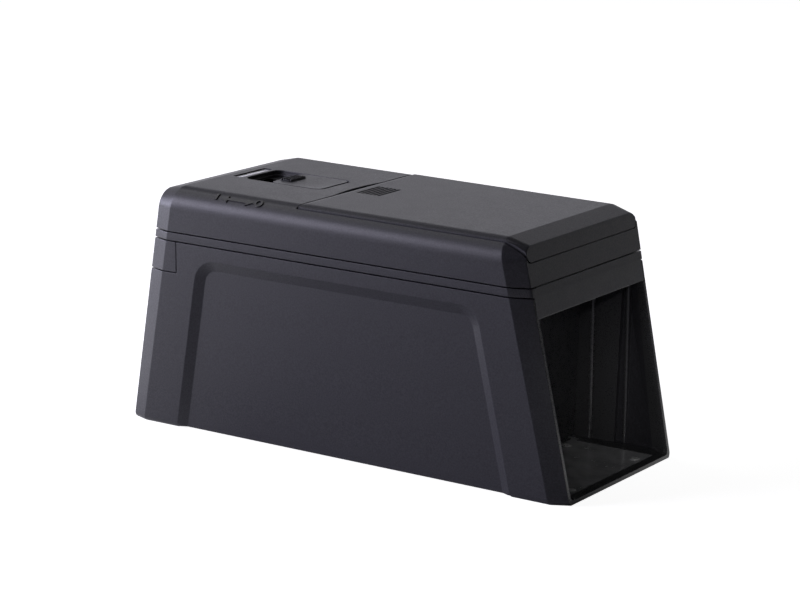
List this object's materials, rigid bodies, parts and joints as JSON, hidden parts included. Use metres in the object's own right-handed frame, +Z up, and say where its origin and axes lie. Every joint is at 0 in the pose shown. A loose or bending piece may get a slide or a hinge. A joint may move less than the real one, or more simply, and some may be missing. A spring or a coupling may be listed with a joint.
{
  "type": "electronic rat trap",
  "caption": "Battery-powered tunnel trap for rats: box housing with baffles, electrode floor plates, slide-off battery lid, slide switch, lamp window and rear bait door.",
  "frame": {"origin": "middle of the housing's footprint, on the surface that it stands on", "axes": "+X along the tunnel to the entrance, +Y across it, +Z up"},
  "size_m": [0.2678, 0.1238, 0.1308],
  "materials": {
    "housing_plastic": "fine-grained moulded charcoal plastic",
    "tunnel_plastic": "smooth black moulded plastic",
    "cup_plastic": "plain moulded plastic",
    "plate_steel": "bright rolled sheet",
    "rivet_metal": "polished domes",
    "knob_plastic": "plain",
    "switch_metal": "tinned can",
    "window_plastic": "milky translucent",
    "lamp_plastic": "tinted clear lamp body",
    "board_laminate": "green lacquered laminate",
    "ferrite": "ferrite core with taped winding",
    "capacitor_skin": "dipped skin",
    "component_black": "moulded component bodies",
    "cell_jacket": "printed metal jacket without words",
    "contact_metal": "nickel-plated spring steel",
    "screw_steel": "zinc-plated",
    "lead_red": "insulated lead",
    "lead_black": "insulated lead"
  },
  "bodies": {
    "housing": {"base_shell": "housing_plastic", "mid_frame": "housing_plastic", "top_cover": "housing_plastic", "far_baffle": "tunnel_plastic", "near_baffle": "tunnel_plastic", "battery_tray": "tunnel_plastic", "front_plate": "plate_steel", "middle_plate": "plate_steel", "rear_plate": "plate_steel", "plate_rivets": "rivet_metal", "slide_switch": "switch_metal", "indicator_window": "window_plastic", "indicator_led": "lamp_plastic", "circuit_board": "board_laminate", "transformer": "ferrite", "hv_capacitor": "capacitor_skin", "board_parts": "component_black", "battery_cell_1": "cell_jacket", "battery_cell_2": "cell_jacket", "battery_cell_3": "cell_jacket", "battery_cell_4": "cell_jacket", "battery_springs": "contact_metal", "battery_contacts": "contact_metal", "plate_leads": "lead_red", "battery_leads": "lead_black", "deck_screws": "screw_steel", "cover_screws": "screw_steel", "board_screws": "screw_steel", "tray_screws": "screw_steel", "baffle_screws": "screw_steel"},
    "lid": {"battery_lid": "housing_plastic"},
    "door": {"rear_door": "housing_plastic", "bait_cup": "cup_plastic"},
    "power_switch": {"switch_slider": "housing_plastic", "switch_knob": "knob_plastic"}
  },
  "joints": [
    {"name": "lid_slide", "type": "slide", "parent": "housing", "child": "lid", "axis": [1, 0, 0], "range_m": [0, 0.14]},
    {"name": "door_pull", "type": "slide", "parent": "housing", "child": "door", "axis": [-1, 0, 0], "range_m": [0, 0.05]},
    {"name": "switch_slide", "type": "slide", "parent": "housing", "child": "power_switch", "axis": [-1, 0, 0], "range_m": [0, 0.013]}
  ]
}
